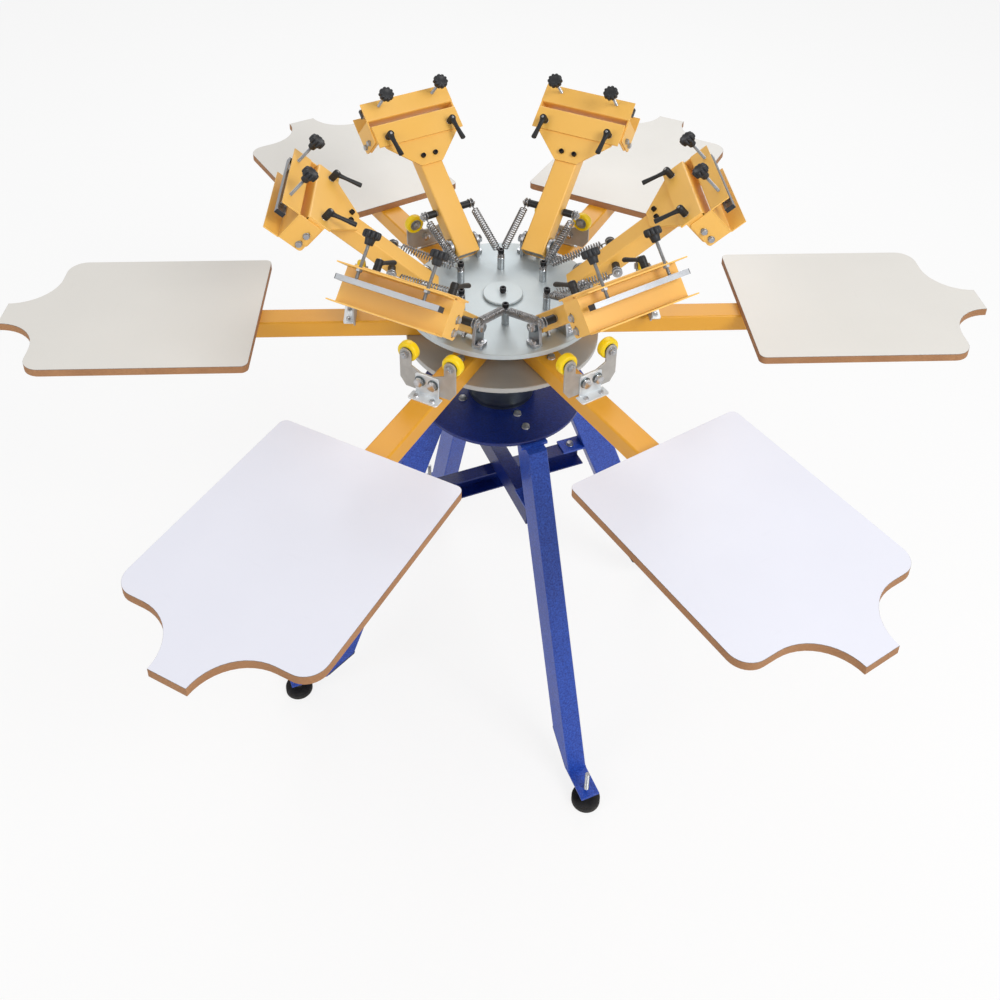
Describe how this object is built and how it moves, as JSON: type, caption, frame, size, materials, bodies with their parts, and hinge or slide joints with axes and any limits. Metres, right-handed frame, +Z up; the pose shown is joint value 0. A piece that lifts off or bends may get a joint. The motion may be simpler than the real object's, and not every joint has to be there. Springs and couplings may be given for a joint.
{
  "type": "rotary screen printing press",
  "caption": "Floor-standing rotary screen printing press: sprung print heads with screen clamps over a ring of boards that turns on a splayed stand.",
  "frame": {"origin": "on the floor, on the axis of the centre shaft", "axes": "+Z up along the centre shaft, +X along the platen arm of station 1"},
  "size_m": [2.454, 2.1672, 1.6127],
  "materials": {
    "hammered_blue": "hammered blue paint",
    "orange_paint": "gloss orange powder coat",
    "zinc": "bright zinc plate",
    "machined_steel": "machined, brushed",
    "dark_steel": "oiled, turned",
    "laminated_board": "white laminate, brown edges",
    "yellow_plastic": "satin yellow plastic",
    "black_plastic": "textured black plastic",
    "rubber": "matt black rubber",
    "aluminium": "satin mill finish",
    "chrome": "polished chrome"
  },
  "bodies": {
    "stand": {"stand_plate": "hammered_blue", "stand_legs": "hammered_blue", "cross_braces": "hammered_blue", "stand_bolts": "zinc", "levelling_studs": "zinc", "levelling_nuts": "zinc", "rubber_feet": "rubber", "bearing_housing": "dark_steel", "thrust_ring": "machined_steel", "centre_shaft": "machined_steel", "shaft_cap": "machined_steel", "cap_screw": "dark_steel"},
    "platen_carousel": {"platen_disc": "machined_steel", "platen_arms": "orange_paint", "platen_1": "laminated_board", "platen_2": "laminated_board", "platen_3": "laminated_board", "platen_4": "laminated_board", "platen_5": "laminated_board", "platen_6": "laminated_board", "gate_plates": "zinc", "gate_bases": "zinc", "platen_fasteners": "zinc", "roller_pins": "zinc"},
    "head_carousel": {"head_disc": "machined_steel", "head_hub": "machined_steel", "spring_posts": "chrome", "hinge_ears": "machined_steel", "head_fasteners": "zinc", "springs": "zinc"},
    "roller_1": {"roller_1": "yellow_plastic"},
    "roller_2": {"roller_2": "yellow_plastic"},
    "roller_3": {"roller_3": "yellow_plastic"},
    "roller_4": {"roller_4": "yellow_plastic"},
    "roller_5": {"roller_5": "yellow_plastic"},
    "roller_6": {"roller_6": "yellow_plastic"},
    "roller_7": {"roller_7": "yellow_plastic"},
    "roller_8": {"roller_8": "yellow_plastic"},
    "roller_9": {"roller_9": "yellow_plastic"},
    "roller_10": {"roller_10": "yellow_plastic"},
    "roller_11": {"roller_11": "yellow_plastic"},
    "roller_12": {"roller_12": "yellow_plastic"},
    "head_1": {"head_arm_1": "orange_paint"},
    "screen_clamp_1": {"screen_clamp_1": "orange_paint"},
    "clamp_bar_1": {"clamp_bar_1": "aluminium"},
    "head_2": {"head_arm_2": "orange_paint"},
    "screen_clamp_2": {"screen_clamp_2": "orange_paint"},
    "clamp_bar_2": {"clamp_bar_2": "aluminium"},
    "head_3": {"head_arm_3": "orange_paint"},
    "screen_clamp_3": {"screen_clamp_3": "orange_paint"},
    "clamp_bar_3": {"clamp_bar_3": "aluminium"},
    "head_4": {"head_arm_4": "orange_paint"},
    "screen_clamp_4": {"screen_clamp_4": "orange_paint"},
    "clamp_bar_4": {"clamp_bar_4": "aluminium"},
    "head_5": {"head_arm_5": "orange_paint"},
    "screen_clamp_5": {"screen_clamp_5": "orange_paint"},
    "clamp_bar_5": {"clamp_bar_5": "aluminium"},
    "head_6": {"head_arm_6": "orange_paint"},
    "screen_clamp_6": {"screen_clamp_6": "orange_paint"},
    "clamp_bar_6": {"clamp_bar_6": "aluminium"}
  },
  "joints": [
    {"name": "platen_carousel_turn", "type": "hinge", "parent": "stand", "child": "platen_carousel", "pos_m": [0, 0, 1.087], "axis": [0, 0, 1], "continuous": true},
    {"name": "head_carousel_turn", "type": "hinge", "parent": "stand", "child": "head_carousel", "pos_m": [0, 0, 1.187], "axis": [0, 0, 1], "continuous": true},
    {"name": "roller_1_turn", "type": "hinge", "parent": "platen_carousel", "child": "roller_1", "pos_m": [0.352, -0.0575, 1.244], "axis": [1, 0, 0], "continuous": true},
    {"name": "roller_2_turn", "type": "hinge", "parent": "platen_carousel", "child": "roller_2", "pos_m": [0.352, 0.0575, 1.244], "axis": [1, 0, 0], "continuous": true},
    {"name": "roller_3_turn", "type": "hinge", "parent": "platen_carousel", "child": "roller_3", "pos_m": [0.2258, 0.27609, 1.244], "axis": [0.5, 0.866, 0], "continuous": true},
    {"name": "roller_4_turn", "type": "hinge", "parent": "platen_carousel", "child": "roller_4", "pos_m": [0.1262, 0.33359, 1.244], "axis": [0.5, 0.866, 0], "continuous": true},
    {"name": "roller_5_turn", "type": "hinge", "parent": "platen_carousel", "child": "roller_5", "pos_m": [-0.1262, 0.33359, 1.244], "axis": [-0.5, 0.866, 0], "continuous": true},
    {"name": "roller_6_turn", "type": "hinge", "parent": "platen_carousel", "child": "roller_6", "pos_m": [-0.2258, 0.27609, 1.244], "axis": [-0.5, 0.866, 0], "continuous": true},
    {"name": "roller_7_turn", "type": "hinge", "parent": "platen_carousel", "child": "roller_7", "pos_m": [-0.352, 0.0575, 1.244], "axis": [-1, 0, 0], "continuous": true},
    {"name": "roller_8_turn", "type": "hinge", "parent": "platen_carousel", "child": "roller_8", "pos_m": [-0.352, -0.0575, 1.244], "axis": [-1, 0, 0], "continuous": true},
    {"name": "roller_9_turn", "type": "hinge", "parent": "platen_carousel", "child": "roller_9", "pos_m": [-0.2258, -0.27609, 1.244], "axis": [-0.5, -0.866, 0], "continuous": true},
    {"name": "roller_10_turn", "type": "hinge", "parent": "platen_carousel", "child": "roller_10", "pos_m": [-0.1262, -0.33359, 1.244], "axis": [-0.5, -0.866, 0], "continuous": true},
    {"name": "roller_11_turn", "type": "hinge", "parent": "platen_carousel", "child": "roller_11", "pos_m": [0.1262, -0.33359, 1.244], "axis": [0.5, -0.866, 0], "continuous": true},
    {"name": "roller_12_turn", "type": "hinge", "parent": "platen_carousel", "child": "roller_12", "pos_m": [0.2258, -0.27609, 1.244], "axis": [0.5, -0.866, 0], "continuous": true},
    {"name": "head_1_lower", "type": "hinge", "parent": "head_carousel", "child": "head_1", "pos_m": [0.198, 0, 1.245], "axis": [0, 1, 0], "range_deg": [0, 42], "stiffness_Nm_per_rad": 10, "springref_deg": -114.59, "deforming": ["springs"]},
    {"name": "screen_clamp_1_slide", "type": "slide", "parent": "head_1", "child": "screen_clamp_1", "axis": [0.7431, 0, 0.6691], "range_m": [-0.005, 0.005]},
    {"name": "clamp_bar_1_slide", "type": "slide", "parent": "screen_clamp_1", "child": "clamp_bar_1", "axis": [-0.6691, 0, 0.7431], "range_m": [-0.041, 0.015]},
    {"name": "head_2_lower", "type": "hinge", "parent": "head_carousel", "child": "head_2", "pos_m": [0.099, 0.17147, 1.245], "axis": [-0.866, 0.5, 0], "range_deg": [0, 42], "stiffness_Nm_per_rad": 10, "springref_deg": -114.59, "deforming": ["springs"]},
    {"name": "screen_clamp_2_slide", "type": "slide", "parent": "head_2", "child": "screen_clamp_2", "axis": [0.3716, 0.6436, 0.6691], "range_m": [-0.005, 0.005]},
    {"name": "clamp_bar_2_slide", "type": "slide", "parent": "screen_clamp_2", "child": "clamp_bar_2", "axis": [-0.3346, -0.5795, 0.7431], "range_m": [-0.041, 0.015]},
    {"name": "head_3_lower", "type": "hinge", "parent": "head_carousel", "child": "head_3", "pos_m": [-0.099, 0.17147, 1.245], "axis": [-0.866, -0.5, 0], "range_deg": [0, 42], "stiffness_Nm_per_rad": 10, "springref_deg": -114.59, "deforming": ["springs"]},
    {"name": "screen_clamp_3_slide", "type": "slide", "parent": "head_3", "child": "screen_clamp_3", "axis": [-0.3716, 0.6436, 0.6691], "range_m": [-0.005, 0.005]},
    {"name": "clamp_bar_3_slide", "type": "slide", "parent": "screen_clamp_3", "child": "clamp_bar_3", "axis": [0.3346, -0.5795, 0.7431], "range_m": [-0.041, 0.015]},
    {"name": "head_4_lower", "type": "hinge", "parent": "head_carousel", "child": "head_4", "pos_m": [-0.198, 0, 1.245], "axis": [0, -1, 0], "range_deg": [0, 42], "stiffness_Nm_per_rad": 10, "springref_deg": -114.59, "deforming": ["springs"]},
    {"name": "screen_clamp_4_slide", "type": "slide", "parent": "head_4", "child": "screen_clamp_4", "axis": [-0.7431, 0, 0.6691], "range_m": [-0.005, 0.005]},
    {"name": "clamp_bar_4_slide", "type": "slide", "parent": "screen_clamp_4", "child": "clamp_bar_4", "axis": [0.6691, 0, 0.7431], "range_m": [-0.041, 0.015]},
    {"name": "head_5_lower", "type": "hinge", "parent": "head_carousel", "child": "head_5", "pos_m": [-0.099, -0.17147, 1.245], "axis": [0.866, -0.5, 0], "range_deg": [0, 42], "stiffness_Nm_per_rad": 10, "springref_deg": -114.59, "deforming": ["springs"]},
    {"name": "screen_clamp_5_slide", "type": "slide", "parent": "head_5", "child": "screen_clamp_5", "axis": [-0.3716, -0.6436, 0.6691], "range_m": [-0.005, 0.005]},
    {"name": "clamp_bar_5_slide", "type": "slide", "parent": "screen_clamp_5", "child": "clamp_bar_5", "axis": [0.3346, 0.5795, 0.7431], "range_m": [-0.041, 0.015]},
    {"name": "head_6_lower", "type": "hinge", "parent": "head_carousel", "child": "head_6", "pos_m": [0.099, -0.17147, 1.245], "axis": [0.866, 0.5, 0], "range_deg": [0, 42], "stiffness_Nm_per_rad": 10, "springref_deg": -114.59, "deforming": ["springs"]},
    {"name": "screen_clamp_6_slide", "type": "slide", "parent": "head_6", "child": "screen_clamp_6", "axis": [0.3716, -0.6436, 0.6691], "range_m": [-0.005, 0.005]},
    {"name": "clamp_bar_6_slide", "type": "slide", "parent": "screen_clamp_6", "child": "clamp_bar_6", "axis": [-0.3346, 0.5795, 0.7431], "range_m": [-0.041, 0.015]}
  ]
}
